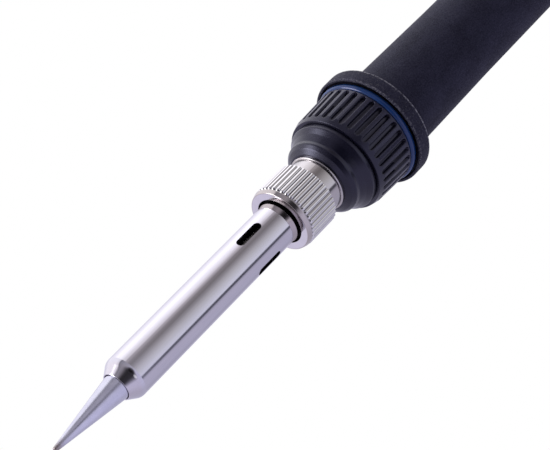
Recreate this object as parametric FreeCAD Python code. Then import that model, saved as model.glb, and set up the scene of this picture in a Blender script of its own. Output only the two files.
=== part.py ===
import FreeCAD, Part
import math
import os

# Electric soldering iron handpiece with a replaceable conical tip, one STEP file per piece.
#
# Frame: the iron's axis is X, +X towards the tip, +Z up.  The origin is on the axis, in the straight
# stretch of the rubber grip.  Lengths are millimetres, x is a station along the axis and r a radius.
# A clock angle goes round the axis from +Z towards +Y.

Vector = FreeCAD.Vector
ORIGIN = Vector(0, 0, 0)
AXIS = Vector(1, 0, 0)
FULL_TURN = 360

# ---- Driving stations along the axis, from the tip's end to the rear of the handle ----
TIP_END_X = 118.3
MOUTH_X = 103.4
NUT_FRONT_X = 60.0
NUT_REAR_X = 52.0
NIPPLE_FRONT_X = 48.75
NIPPLE_REAR_X = 34.7
FLANGE_FRONT_X = 33.5
FLANGE_REAR_X = 30.5
GRIP_STRAIGHT_FRONT_X = 5.0
GRIP_STRAIGHT_REAR_X = -38.0
GRIP_REAR_X = -42.0
TUBE_REAR_X = -66.0
CAP_REAR_X = -72.0

# ---- Clearances ----
SEAT_GAP = 0.1          # between faces that meet when the iron is screwed together
SLIDE_GAP = 0.1         # radial, heater rod in the tip's bore
THREAD_GAP = 0.15       # radial, male crests to the plain bore that stands for the female thread
PRESS_GAP = 0.02        # radial, pieces pressed or glued into each other

# ---- Tip and its enclosure ----
TIP_END_R = 0.4
TIP_CONE_BASE_R = 2.42
TIP_NECK_R = 2.46
TIP_BARREL_R = 3.22
TIP_BARREL_REAR_X = 74.6
TIP_BORE_END_X = 101.0
ENCLOSURE_R = 4.0
ENCLOSURE_BORE_R = 3.35
ENCLOSURE_MOUTH_R = 2.54
ENCLOSURE_MOUTH_OUTER_R = 2.7
ENCLOSURE_TAPER_X = 101.4
ENCLOSURE_LIP = 1.8
ENCLOSURE_WAIST_X = 61.45
ENCLOSURE_WAIST_R = 3.74
ENCLOSURE_FLARE_X = 60.4
ENCLOSURE_FLARE_R = 4.1
ENCLOSURE_NECK_R = 3.72
ENCLOSURE_RIM_R = 4.95
ENCLOSURE_RIM = 0.55
VENT_REAR_X = 65.15
VENT_LENGTH = 5.95
VENT_WIDTH = 1.6
VENT_CLOCKS = (-5.5, 97.0, 226.0)

# ---- Knurled nut ----
NUT_R = 6.36
NUT_FACE_R = 6.05
NUT_EDGE_X = 59.15
NUT_EDGE_R = 6.22
NUT_CHAMFER = 0.25
NUT_OPENING_R = 4.49
NUT_LIP = 1.0
KNURL_COUNT = 41
KNURL_DEPTH = 0.35
KNURL_TOP_WIDTH = 0.5
KNURL_ROOT_WIDTH = 0.22
KNURL_FRONT_X = 58.85

# ---- Threaded ferrule between nut and nipple ----
FERRULE_CREST_R = 5.0
FERRULE_ROOT_R = 4.5
FERRULE_PITCH = 1.0
FERRULE_BORE_R = 3.0
FERRULE_BAND_R = 5.3
FERRULE_RIM_R = 5.6
FERRULE_SHANK_R = 4.85
FERRULE_REAR_X = 42.5

# ---- Nipple ----
NIPPLE_FACE_R = 5.9
NIPPLE_EDGE_X = 48.15
NIPPLE_EDGE_R = 6.85
BUMP_ONE_X = 47.45
BUMP_ONE_R = 7.45
VALLEY_X = 46.65
VALLEY_R = 7.38
RISE_X = 45.5
RISE_R = 8.1
BUMP_TWO_X = 44.6
BUMP_TWO_R = 8.86
COLLAR_GROOVE_X = 43.7
COLLAR_GROOVE_R = 8.66
COLLAR_FRONT_X = 43.58
COLLAR_EDGE_R = 9.48
COLLAR_SHOULDER_X = 42.2
COLLAR_SHOULDER_R = 9.84
COLLAR_REAR_R = 10.1
RIB_COUNT = 35
RIB_GAP_WIDTH = 0.75
RIB_ROOT_R = 9.3
RIB_FRONT_X = 42.7
RIB_REAR_X = 35.0
NIPPLE_SHOULDER_X = 41.3
NIPPLE_SHOULDER_R = 5.15

# ---- Blue ring, handle tube, grip and end cap ----
RING_FRONT_X = 34.6
RING_REAR_X = 33.25
RING_R = 10.4
RING_BORE_R = 8.6
TUBE_FRONT_X = 41.1
TUBE_CREST_R = 8.3
TUBE_ROOT_R = 7.75
TUBE_PITCH = 1.5
TUBE_THREAD_END_X = 35.2
TUBE_STOP_FRONT_X = 33.0
TUBE_STOP_REAR_X = 31.2
TUBE_STOP_R = 9.6
TUBE_SLEEVED_R = 6.9
TUBE_TAIL_FRONT_R = 7.75
TUBE_TAIL_REAR_R = 7.1
TUBE_BORE_R = 4.9
KEY_REAR_X = 26.0
KEY_FRONT_X = 32.2
KEY_LAND_Z = -4.1
FLANGE_R = 11.35
FLANGE_LIP_R = 10.8
FLANGE_RECESS_X = 32.3
GRIP_FRONT_R = 8.45
GRIP_R = 8.15
GRIP_BORE_R = 6.95
CAP_PLUG_R = 4.85
CAP_PLUG_FRONT_X = -61.0
CORD_INLET_R = 2.9

# ---- Heating element and terminal board ----
ROD_R = 1.9
ROD_FRONT_X = 100.5
ROD_REAR_X = 37.4
HEATER_COLLAR_R = 3.4
HEATER_COLLAR_FRONT_X = 40.0
HEATER_COLLAR_REAR_X = 37.6
D_TUBE_R = 3.6
D_BORE_R = 2.9
D_SHOULDER_R = 4.75
D_FRONT_X = 37.5
D_SHOULDER_FRONT_X = 32.0
D_REAR_X = 29.0
D_FLAT_Z = -4.0
D_NOTCH_WIDTH = 1.0
SPRING_R = 4.2
SPRING_WIRE_R = 0.28
SPRING_WIRE_SIDES = 8
SPRING_REAR_X = 32.4
SPRING_FRONT_X = 42.1
SPRING_TURNS = 7
BOARD_FRONT_X = 23.0
BOARD_REAR_X = -7.0
BOARD_HALF_WIDTH = 5.3
BOARD_THICKNESS = 1.0
BOARD_SLOT_GAP = 0.12
TERMINAL_FRONT_X = 20.0
TERMINAL_REAR_X = -4.0
TERMINAL_PITCH = 1.9
TERMINAL_COUNT = 5
TERMINAL_R = 0.45
TERMINAL_BORE_R = 0.25
TERMINAL_FLANGE_R = 0.75
TERMINAL_FLANGE = 0.12
TRACK_WIDTH = 1.1
TRACK_THICKNESS = 0.07
SOLDER_R = 0.7
LEAD_R = 0.25
LEAD_OFFSET = 1.0
LEAD_BEND_R = 1.5
LEAD_STRAIGHT_X = 31.0
LEAD_LANDED_X = 24.5
LEAD_END_X = 19.4
SLEEVE_R = 0.5
SLEEVE_FRONT_X = 36.0

# ---- Derived sizes ----
TUBE_NECK_R = TUBE_ROOT_R + 0.15
NUT_THREAD_BORE_R = FERRULE_CREST_R + THREAD_GAP
NIPPLE_THREAD_BORE_R = TUBE_CREST_R + THREAD_GAP
TIP_BORE_R = ROD_R + SLIDE_GAP
NUT_SEAT_X = NUT_FRONT_X - NUT_LIP
ENCLOSURE_REAR_X = NUT_SEAT_X - SEAT_GAP - ENCLOSURE_RIM
FERRULE_FRONT_X = ENCLOSURE_REAR_X - SEAT_GAP
TIP_SHOULDER_X = MOUTH_X - ENCLOSURE_LIP - 0.3
BOARD_TOP_Z = BOARD_THICKNESS / 2
TRACK_TOP_Z = BOARD_TOP_Z + TRACK_THICKNESS
EYELET_TOP_Z = TRACK_TOP_Z + TERMINAL_FLANGE
LEAD_Z = EYELET_TOP_Z + LEAD_R
PAST = 1.0              # how far a cutter runs past the face that it opens


# ---- Drawing helpers ----

def rounded_edges(points):
    """Edges of a closed outline.  A point is (x, r), or (x, r, fillet) where its corner is rounded."""
    places = [Vector(point[0], 0, point[1]) for point in points]
    fillets = [point[2] if len(point) == 3 else 0 for point in points]
    corners = []
    for index, place in enumerate(places):
        if not fillets[index]:
            corners.append((place, None, place))
            continue
        before = (places[index - 1] - place).normalize()
        after = (places[(index + 1) % len(places)] - place).normalize()
        half = before.getAngle(after) / 2
        reach = fillets[index] / math.tan(half)
        bisector = (before + after).normalize()
        middle = place + bisector * (fillets[index] / math.sin(half) - fillets[index])
        corners.append((place + before * reach, middle, place + after * reach))
    edges = []
    for index, (start, middle, end) in enumerate(corners):
        if middle is not None:
            edges.append(Part.Arc(start, middle, end).toShape())
        following = corners[(index + 1) % len(corners)][0]
        if end.distanceToPoint(following) > 1e-6:
            edges.append(Part.LineSegment(end, following).toShape())
    return edges


def turned(points):
    """The solid that a closed outline of (x, r) points sweeps in one turn about the axis."""
    face = Part.Face(Part.Wire(rounded_edges(points)))
    solid = face.revolve(ORIGIN, AXIS, FULL_TURN)
    if solid.Volume < 0:
        solid.reverse()
    return solid


def rod(front_x, rear_x, radius):
    """A plain cylinder along the axis."""
    return Part.makeCylinder(radius, front_x - rear_x, Vector(rear_x, 0, 0), AXIS)


def block(low, high):
    """An upright box between two corners, each (x, y, z)."""
    return Part.makeBox(high[0] - low[0], high[1] - low[1], high[2] - low[2], Vector(*low))


def evenly(count):
    """Clock angles spaced evenly round the axis, from 0."""
    return [index * FULL_TURN / count for index in range(count)]


def around(shape, clocks):
    """Copies of a shape made at clock angle 0, one at each of the clock angles."""
    copies = []
    for clock in clocks:
        copy = shape.copy()
        copy.rotate(ORIGIN, AXIS, -clock)
        copies.append(copy)
    return Part.makeCompound(copies)


def obround(rear_x, front_x, width, low_z, high_z):
    """An upright prism with round ends, lying along the axis: the cutter of a slot."""
    half = width / 2
    height = high_z - low_z
    prism = block((rear_x + half, -half, low_z), (front_x - half, half, high_z))
    for x in (rear_x + half, front_x - half):
        prism = prism.fuse(Part.makeCylinder(half, height, Vector(x, 0, low_z)))
    return prism.removeSplitter()


def thread_points(front_x, rear_x, pitch, crest_r, root_r):
    """Outline points of annular thread crests, from front to rear."""
    count = int((front_x - rear_x) / pitch)
    points = []
    for index in range(count):
        start = front_x - index * pitch
        points.append((start, root_r))
        points.append((start - 0.4 * pitch, crest_r))
        points.append((start - 0.55 * pitch, crest_r))
    points.append((front_x - count * pitch, root_r))
    return points


def wire(points, radius, bend):
    """A round wire along straight runs joined by tangent arcs."""
    places = [Vector(*point) for point in points]
    edges = []
    here = places[0]
    for index in range(1, len(places) - 1):
        before = (places[index - 1] - places[index]).normalize()
        after = (places[index + 1] - places[index]).normalize()
        half = before.getAngle(after) / 2
        reach = bend / math.tan(half)
        start = places[index] + before * reach
        end = places[index] + after * reach
        bisector = (before + after).normalize()
        middle = places[index] + bisector * (bend / math.sin(half) - bend)
        edges.append(Part.LineSegment(here, start).toShape())
        edges.append(Part.Arc(start, middle, end).toShape())
        here = end
    edges.append(Part.LineSegment(here, places[-1]).toShape())
    section = Part.Wire(Part.makeCircle(radius, places[0], places[1] - places[0]))
    return Part.Wire(edges).makePipeShell([section], True, True)


# ---- Front end ----

def soldering_tip():
    """Conical tip: solid cone and neck in front, hollow barrel that slides over the heater behind."""
    return turned([
        (TIP_END_X, 0),
        (TIP_END_X, TIP_END_R, 0.3),
        (MOUTH_X, TIP_CONE_BASE_R, 0.5),
        (MOUTH_X - 0.3, TIP_NECK_R),
        (TIP_SHOULDER_X, TIP_NECK_R),
        (TIP_SHOULDER_X, TIP_BARREL_R, 0.4),
        (TIP_BARREL_REAR_X, TIP_BARREL_R, 0.3),
        (TIP_BARREL_REAR_X, TIP_BORE_R),
        (TIP_BORE_END_X, TIP_BORE_R),
        (TIP_BORE_END_X + 0.6, 0),
    ])


def tip_enclosure():
    """Steel tube over the tip's barrel: formed mouth, three vent slots, rolled bead and seating rim."""
    tube = turned([
        (MOUTH_X, ENCLOSURE_MOUTH_R, 0.05),
        (MOUTH_X, ENCLOSURE_MOUTH_OUTER_R, 0.08),
        (ENCLOSURE_TAPER_X, ENCLOSURE_R, 2.0),
        (ENCLOSURE_WAIST_X, ENCLOSURE_R, 0.1),
        (ENCLOSURE_WAIST_X - 0.12, ENCLOSURE_WAIST_R),
        (ENCLOSURE_FLARE_X, ENCLOSURE_FLARE_R, 0.06),
        (ENCLOSURE_FLARE_X - 0.12, ENCLOSURE_NECK_R),
        (NUT_SEAT_X - SEAT_GAP, ENCLOSURE_NECK_R),
        (NUT_SEAT_X - SEAT_GAP, ENCLOSURE_RIM_R, 0.15),
        (ENCLOSURE_REAR_X, ENCLOSURE_RIM_R, 0.15),
        (ENCLOSURE_REAR_X, ENCLOSURE_BORE_R),
        (MOUTH_X - ENCLOSURE_LIP, ENCLOSURE_BORE_R, 0.3),
        (MOUTH_X - ENCLOSURE_LIP, ENCLOSURE_MOUTH_R),
    ])
    vent = obround(VENT_REAR_X, VENT_REAR_X + VENT_LENGTH, VENT_WIDTH, 2.0, ENCLOSURE_R + PAST)
    return tube.cut(around(vent, VENT_CLOCKS))


def knurl_groove():
    """One groove of the nut's straight knurl, open at the nut's rear face."""
    top_z = NUT_R + 0.05
    root_z = NUT_R - KNURL_DEPTH
    corners = [
        Vector(NUT_REAR_X - PAST, -KNURL_TOP_WIDTH / 2, top_z),
        Vector(NUT_REAR_X - PAST, KNURL_TOP_WIDTH / 2, top_z),
        Vector(NUT_REAR_X - PAST, KNURL_ROOT_WIDTH / 2, root_z),
        Vector(NUT_REAR_X - PAST, -KNURL_ROOT_WIDTH / 2, root_z),
    ]
    face = Part.Face(Part.makePolygon(corners + corners[:1]))
    return face.extrude(Vector(KNURL_FRONT_X - NUT_REAR_X + PAST, 0, 0))


def retaining_nut():
    """Knurled nut that draws the enclosure's rim against the ferrule."""
    body = turned([
        (NUT_FRONT_X, NUT_OPENING_R, 0.1),
        (NUT_FRONT_X, NUT_FACE_R, 0.2),
        (NUT_EDGE_X, NUT_EDGE_R, 0.1),
        (KNURL_FRONT_X, NUT_R, 0.1),
        (NUT_REAR_X + NUT_CHAMFER, NUT_R),
        (NUT_REAR_X, NUT_R - NUT_CHAMFER),
        (NUT_REAR_X, NUT_THREAD_BORE_R + 0.2),
        (NUT_REAR_X + 0.2, NUT_THREAD_BORE_R),
        (NUT_SEAT_X, NUT_THREAD_BORE_R),
        (NUT_SEAT_X, NUT_OPENING_R),
    ])
    return body.cut(around(knurl_groove(), evenly(KNURL_COUNT)))


def threaded_ferrule():
    """Metal ferrule fixed in the nipple: male thread, smooth band, bright rim and a pressed-in shank."""
    thread_end_x = NUT_REAR_X + 0.6
    return turned([
        (FERRULE_FRONT_X, FERRULE_BORE_R),
        (FERRULE_FRONT_X, FERRULE_ROOT_R - 0.2),
        *thread_points(FERRULE_FRONT_X - 0.2, thread_end_x, FERRULE_PITCH,
                       FERRULE_CREST_R, FERRULE_ROOT_R),
        (NUT_REAR_X - 0.2, FERRULE_ROOT_R),
        (NUT_REAR_X - 0.2, FERRULE_BAND_R, 0.15),
        (NIPPLE_FRONT_X + 0.75, FERRULE_BAND_R),
        (NIPPLE_FRONT_X + 0.75, FERRULE_BAND_R - 0.15),
        (NIPPLE_FRONT_X + 0.55, FERRULE_BAND_R - 0.15),
        (NIPPLE_FRONT_X + 0.55, FERRULE_BAND_R),
        (NIPPLE_FRONT_X + 0.4, FERRULE_RIM_R, 0.15),
        (NIPPLE_FRONT_X + PRESS_GAP, FERRULE_RIM_R),
        (NIPPLE_FRONT_X + PRESS_GAP, FERRULE_SHANK_R),
        (FERRULE_REAR_X + 0.3, FERRULE_SHANK_R),
        (FERRULE_REAR_X, FERRULE_SHANK_R - 0.3),
        (FERRULE_REAR_X, FERRULE_BORE_R),
    ])


# ---- Nipple and ring ----

def nipple():
    """Black plastic nose of the handle: two rounded steps, then a ribbed collar that screws on."""
    body = turned([
        (NIPPLE_FRONT_X, FERRULE_SHANK_R + PRESS_GAP),
        (NIPPLE_FRONT_X, NIPPLE_FACE_R, 0.3),
        (NIPPLE_EDGE_X, NIPPLE_EDGE_R, 0.6),
        (BUMP_ONE_X, BUMP_ONE_R, 0.45),
        (VALLEY_X, VALLEY_R, 0.6),
        (RISE_X, RISE_R, 0.6),
        (BUMP_TWO_X, BUMP_TWO_R, 0.4),
        (COLLAR_GROOVE_X, BUMP_TWO_R, 0.1),
        (COLLAR_GROOVE_X, COLLAR_GROOVE_R),
        (COLLAR_FRONT_X, COLLAR_GROOVE_R),
        (COLLAR_FRONT_X, COLLAR_EDGE_R, 0.12),
        (COLLAR_SHOULDER_X, COLLAR_SHOULDER_R, 0.4),
        (NIPPLE_REAR_X, COLLAR_REAR_R, 0.15),
        (NIPPLE_REAR_X, NIPPLE_THREAD_BORE_R),
        (NIPPLE_SHOULDER_X, NIPPLE_THREAD_BORE_R),
        (NIPPLE_SHOULDER_X, NIPPLE_SHOULDER_R),
        (FERRULE_REAR_X, NIPPLE_SHOULDER_R),
        (FERRULE_REAR_X, FERRULE_SHANK_R + PRESS_GAP),
    ])
    gap = obround(RIB_REAR_X, RIB_FRONT_X, RIB_GAP_WIDTH, RIB_ROOT_R, COLLAR_REAR_R + PAST)
    return body.cut(around(gap, evenly(RIB_COUNT)))


def blue_ring():
    """Glossy ring with a rounded crest, between the ribbed collar and the handle's stop."""
    crest = (RING_FRONT_X - RING_REAR_X) / 2 - 0.05
    return turned([
        (RING_FRONT_X, RING_BORE_R),
        (RING_FRONT_X, RING_R, crest),
        (RING_REAR_X, RING_R, crest),
        (RING_REAR_X, RING_BORE_R),
    ])


# ---- Handle ----

def tube_bore():
    """Everything that is hollow in the handle tube: bore, key land and the board's two slots."""
    bore = rod(TUBE_FRONT_X + PAST, TUBE_REAR_X - PAST, TUBE_BORE_R)
    land = block((KEY_REAR_X, -TUBE_BORE_R, -2 * TUBE_BORE_R), (KEY_FRONT_X, TUBE_BORE_R, KEY_LAND_Z))
    hollow = bore.cut(land)
    slot_y = BOARD_HALF_WIDTH + BOARD_SLOT_GAP
    slot_z = BOARD_THICKNESS / 2 + BOARD_SLOT_GAP
    slots = block((BOARD_REAR_X - BOARD_SLOT_GAP, -slot_y, -slot_z),
                  (TUBE_FRONT_X + PAST, slot_y, slot_z))
    return hollow.fuse(slots)


def handle_tube():
    """Plastic tube that carries the whole iron, threaded in front and bare behind the grip."""
    outside = turned([
        (TUBE_FRONT_X, 0),
        (TUBE_FRONT_X, TUBE_ROOT_R - 0.3),
        *thread_points(TUBE_FRONT_X - 0.3, TUBE_THREAD_END_X, TUBE_PITCH, TUBE_CREST_R, TUBE_ROOT_R),
        (TUBE_THREAD_END_X, TUBE_NECK_R),
        (TUBE_STOP_FRONT_X, TUBE_NECK_R),
        (TUBE_STOP_FRONT_X, TUBE_STOP_R, 0.2),
        (TUBE_STOP_REAR_X, TUBE_STOP_R),
        (TUBE_STOP_REAR_X, TUBE_SLEEVED_R),
        (GRIP_REAR_X - PRESS_GAP, TUBE_SLEEVED_R),
        (GRIP_REAR_X - PRESS_GAP, TUBE_TAIL_FRONT_R, 0.4),
        (TUBE_REAR_X, TUBE_TAIL_REAR_R),
        (TUBE_REAR_X, 0),
    ])
    return outside.cut(tube_bore())


def grip_sleeve():
    """Soft rubber sleeve with a finger guard flange at its front end."""
    counterbore_r = TUBE_STOP_R + PRESS_GAP
    return turned([
        (FLANGE_RECESS_X, counterbore_r),
        (FLANGE_RECESS_X, FLANGE_LIP_R - 0.1),
        (FLANGE_FRONT_X, FLANGE_LIP_R, 0.15),
        (FLANGE_FRONT_X, FLANGE_R, 0.3),
        (FLANGE_REAR_X, FLANGE_R, 0.35),
        (FLANGE_REAR_X, GRIP_FRONT_R, 0.4),
        (GRIP_STRAIGHT_FRONT_X, GRIP_R),
        (GRIP_STRAIGHT_REAR_X, GRIP_R),
        (GRIP_REAR_X, GRIP_R - 0.2, 0.8),
        (GRIP_REAR_X, GRIP_BORE_R),
        (TUBE_STOP_REAR_X - PRESS_GAP, GRIP_BORE_R),
        (TUBE_STOP_REAR_X - PRESS_GAP, counterbore_r),
    ])


def rear_end_cap():
    """Cap plugged into the tube's rear end, with the round hole that the cord comes in by."""
    return turned([
        (CAP_PLUG_FRONT_X, CORD_INLET_R),
        (CAP_PLUG_FRONT_X, CAP_PLUG_R, 0.3),
        (TUBE_REAR_X - PRESS_GAP, CAP_PLUG_R),
        (TUBE_REAR_X - PRESS_GAP, TUBE_TAIL_REAR_R, 0.2),
        (CAP_REAR_X, TUBE_TAIL_REAR_R - 0.3, 2.0),
        (CAP_REAR_X, CORD_INLET_R),
    ])


# ---- Heating element ----

def heater_rod():
    """Ceramic heater rod, bevelled where it enters the tip."""
    return turned([
        (ROD_FRONT_X, 0),
        (ROD_FRONT_X, ROD_R, 0.4),
        (ROD_REAR_X, ROD_R),
        (ROD_REAR_X, 0),
    ])


def heater_collar():
    """Ceramic collar fired onto the rod, which sets how far the rod reaches."""
    return turned([
        (HEATER_COLLAR_FRONT_X, ROD_R + PRESS_GAP),
        (HEATER_COLLAR_FRONT_X, HEATER_COLLAR_R, 0.3),
        (HEATER_COLLAR_REAR_X, HEATER_COLLAR_R, 0.3),
        (HEATER_COLLAR_REAR_X, ROD_R + PRESS_GAP),
    ])


def d_sleeve():
    """Ceramic sleeve behind the collar, with a flat that keeps the element from turning."""
    sleeve = turned([
        (D_FRONT_X, D_BORE_R),
        (D_FRONT_X, D_TUBE_R, 0.2),
        (D_SHOULDER_FRONT_X, D_TUBE_R),
        (D_SHOULDER_FRONT_X, D_SHOULDER_R, 0.2),
        (D_REAR_X, D_SHOULDER_R, 0.2),
        (D_REAR_X, D_BORE_R),
    ])
    flat = block((D_REAR_X - PAST, -D_SHOULDER_R, -2 * D_SHOULDER_R),
                 (D_SHOULDER_FRONT_X + PAST, D_SHOULDER_R, D_FLAT_Z))
    notch = block((D_REAR_X - PAST, -D_NOTCH_WIDTH / 2, D_TUBE_R + 0.05),
                  (D_SHOULDER_FRONT_X + PAST, D_NOTCH_WIDTH / 2, 2 * D_SHOULDER_R))
    return sleeve.cut(flat).cut(notch)


def grounding_spring():
    """Coil spring round the D sleeve that earths the ferrule, and through it the tip.

    Its wire has a many-sided section, whose flat faces mesh more truly along a helix than a round one.
    """
    height = SPRING_FRONT_X - SPRING_REAR_X
    helix = Part.makeHelix(height / SPRING_TURNS, height, SPRING_R)
    rise = math.atan2(height / SPRING_TURNS, 2 * math.pi * SPRING_R)
    outward = Vector(SPRING_WIRE_R, 0, 0)
    upward = Vector(0, -math.sin(rise), math.cos(rise)) * SPRING_WIRE_R
    corners = []
    for index in range(SPRING_WIRE_SIDES + 1):
        turn = 2 * math.pi * index / SPRING_WIRE_SIDES
        corners.append(Vector(SPRING_R, 0, 0) + outward * math.cos(turn) + upward * math.sin(turn))
    spring = Part.Wire(helix).makePipeShell([Part.makePolygon(corners)], True, True)
    spring.rotate(ORIGIN, Vector(0, 1, 0), 90)
    spring.rotate(ORIGIN, AXIS, 180)
    spring.translate(Vector(SPRING_REAR_X, 0, 0))
    return spring


def lead_route(side, top):
    """Route of one of the four element leads; the top pair lands on the board's outer terminals."""
    start_z = LEAD_OFFSET if top else -LEAD_OFFSET
    land_y = side * TERMINAL_PITCH * (2 if top else 1)
    return [
        (ROD_REAR_X, side * LEAD_OFFSET, start_z),
        (LEAD_STRAIGHT_X, side * LEAD_OFFSET, start_z),
        (LEAD_LANDED_X, land_y, LEAD_Z),
        (LEAD_END_X, land_y, LEAD_Z),
    ]


def lead_pair(top):
    """Two bare leads of the heater (top) or of the temperature sensor (bottom)."""
    return Part.makeCompound([wire(lead_route(side, top), LEAD_R, LEAD_BEND_R) for side in (-1, 1)])


def lead_sleeve_pair(top):
    """Insulating sleeves over a pair of leads, from behind the rod to the board."""
    sleeves = []
    for side in (-1, 1):
        route = lead_route(side, top)
        covered = [(SLEEVE_FRONT_X,) + route[0][1:], route[1], route[2], (BOARD_FRONT_X,) + route[3][1:]]
        outside = wire(covered, SLEEVE_R, LEAD_BEND_R)
        sleeves.append(outside.cut(wire(route, LEAD_R + PRESS_GAP, LEAD_BEND_R)))
    return Part.makeCompound(sleeves)


def ground_wire():
    """Wire from the grounding spring's tail to the board's middle terminal."""
    spring_clear_x = SPRING_REAR_X - SPRING_WIRE_R - 0.05
    return wire([
        (spring_clear_x, 0, SPRING_R),
        (27.5, 0, SPRING_R),
        (22.5, 0, LEAD_Z),
        (LEAD_END_X, 0, LEAD_Z),
    ], LEAD_R, LEAD_BEND_R)


# ---- Terminal board ----

def terminal_places():
    """(x, y) of each terminal: a front row for the element and a rear row for the cord."""
    middle = (TERMINAL_COUNT - 1) / 2
    return [(x, (index - middle) * TERMINAL_PITCH)
            for x in (TERMINAL_FRONT_X, TERMINAL_REAR_X) for index in range(TERMINAL_COUNT)]


def terminal_holes():
    """Cutters for the terminals' holes through board and tracks."""
    height = 4 * BOARD_THICKNESS
    return Part.makeCompound([
        Part.makeCylinder(TERMINAL_R + PRESS_GAP, height, Vector(x, y, -height / 2))
        for x, y in terminal_places()
    ])


def terminal_board():
    """Fibreglass board that slides in the handle's two slots."""
    half_z = BOARD_THICKNESS / 2
    board = block((BOARD_REAR_X, -BOARD_HALF_WIDTH, -half_z), (BOARD_FRONT_X, BOARD_HALF_WIDTH, half_z))
    corners = [edge for edge in board.Edges if edge.BoundBox.ZLength > half_z]
    return board.makeFillet(0.8, corners).cut(terminal_holes())


def board_tracks():
    """Copper tracks on top of the board, one from each front terminal to its rear one."""
    half = TRACK_WIDTH / 2
    tracks = []
    for x, y in terminal_places()[:TERMINAL_COUNT]:
        strip = obround(TERMINAL_REAR_X - half, x + half, TRACK_WIDTH, BOARD_TOP_Z, TRACK_TOP_Z)
        strip.translate(Vector(0, y, 0))
        tracks.append(strip.cut(terminal_holes()))
    return Part.makeCompound(tracks)


def board_terminals():
    """Tinned eyelets riveted through the board."""
    eyelets = []
    for x, y in terminal_places():
        low_z = -BOARD_TOP_Z - TERMINAL_FLANGE
        barrel = Part.makeCylinder(TERMINAL_R, EYELET_TOP_Z - low_z, Vector(x, y, low_z))
        top = Part.makeCylinder(TERMINAL_FLANGE_R, TERMINAL_FLANGE, Vector(x, y, TRACK_TOP_Z))
        bottom = Part.makeCylinder(TERMINAL_FLANGE_R, TERMINAL_FLANGE, Vector(x, y, low_z))
        hole = Part.makeCylinder(TERMINAL_BORE_R, 4 * EYELET_TOP_Z, Vector(x, y, -2 * EYELET_TOP_Z))
        eyelets.append(barrel.fuse(top).fuse(bottom).cut(hole).removeSplitter())
    return Part.makeCompound(eyelets)


def solder_joints():
    """Domes of solder that hold the leads and the ground wire on the front terminals."""
    wires = [lead_pair(True), lead_pair(False), ground_wire()]
    domes = []
    for x, y in terminal_places()[:TERMINAL_COUNT]:
        ball = Part.makeSphere(SOLDER_R, Vector(x, y, EYELET_TOP_Z))
        upper = block((x - 1, y - 1, EYELET_TOP_Z), (x + 1, y + 1, EYELET_TOP_Z + 1))
        dome = ball.common(upper)
        for conductor in wires:
            dome = dome.cut(conductor)
        domes.append(dome)
    return Part.makeCompound(domes)


PIECES = {
    "soldering_tip": soldering_tip,
    "tip_enclosure": tip_enclosure,
    "retaining_nut": retaining_nut,
    "threaded_ferrule": threaded_ferrule,
    "nipple": nipple,
    "blue_ring": blue_ring,
    "handle_tube": handle_tube,
    "grip_sleeve": grip_sleeve,
    "rear_end_cap": rear_end_cap,
    "heater_rod": heater_rod,
    "heater_collar": heater_collar,
    "d_sleeve": d_sleeve,
    "grounding_spring": grounding_spring,
    "heater_leads": lambda: lead_pair(True),
    "sensor_leads": lambda: lead_pair(False),
    "heater_lead_sleeves": lambda: lead_sleeve_pair(True),
    "sensor_lead_sleeves": lambda: lead_sleeve_pair(False),
    "ground_wire": ground_wire,
    "terminal_board": terminal_board,
    "board_tracks": board_tracks,
    "board_terminals": board_terminals,
    "solder_joints": solder_joints,
}

os.makedirs("parts", exist_ok=True)
for name, make in PIECES.items():
    shape = make()
    if not shape.isValid():
        raise RuntimeError(f"{name} is not a valid shape")
    shape.exportStep(f"parts/{name}.step")
    print(f"{name:22s} {len(shape.Solids):3d} solids {shape.Volume:10.2f} mm3")
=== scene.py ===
import math

import bpy
from mathutils import Matrix, Vector


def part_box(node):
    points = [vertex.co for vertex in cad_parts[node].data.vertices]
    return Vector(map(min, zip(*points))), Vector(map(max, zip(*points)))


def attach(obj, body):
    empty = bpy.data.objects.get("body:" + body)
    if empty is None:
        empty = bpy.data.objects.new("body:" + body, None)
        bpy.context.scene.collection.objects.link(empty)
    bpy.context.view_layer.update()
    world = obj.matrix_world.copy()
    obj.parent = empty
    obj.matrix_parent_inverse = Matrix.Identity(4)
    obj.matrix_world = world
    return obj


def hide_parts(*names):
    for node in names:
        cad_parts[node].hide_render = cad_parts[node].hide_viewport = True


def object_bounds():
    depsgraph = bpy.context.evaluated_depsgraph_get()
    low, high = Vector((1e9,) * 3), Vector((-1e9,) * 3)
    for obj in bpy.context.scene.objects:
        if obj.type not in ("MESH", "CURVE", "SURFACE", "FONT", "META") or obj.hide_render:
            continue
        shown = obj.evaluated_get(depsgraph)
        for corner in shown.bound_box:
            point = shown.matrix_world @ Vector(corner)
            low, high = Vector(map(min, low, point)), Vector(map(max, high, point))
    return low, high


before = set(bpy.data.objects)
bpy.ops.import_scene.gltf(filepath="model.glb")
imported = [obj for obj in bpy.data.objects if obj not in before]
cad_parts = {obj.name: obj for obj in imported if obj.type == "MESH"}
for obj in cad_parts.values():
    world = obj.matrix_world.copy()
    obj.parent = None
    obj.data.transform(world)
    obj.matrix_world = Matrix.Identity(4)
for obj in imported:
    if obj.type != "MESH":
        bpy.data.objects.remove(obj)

# Looks of a soldering iron handpiece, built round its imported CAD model.
#
# The iron's axis is X, +X towards the tip, +Z up.  Sizes are in millimetres: a name that ends in _R is a
# radius from the axis, and the other places are stations along it.  An outline is a list of (x, r) points
# with an optional third number, the radius that rounds the corner.  Round patterns are a function of the
# clock angle, which goes round the axis from +Z towards +Y.

MM = 0.001
# How far below a surface a point still counts as being on it.
SKIN = 0.01
SHARP_EDGE = math.radians(50)
FILLET_STEPS = 6

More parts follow.
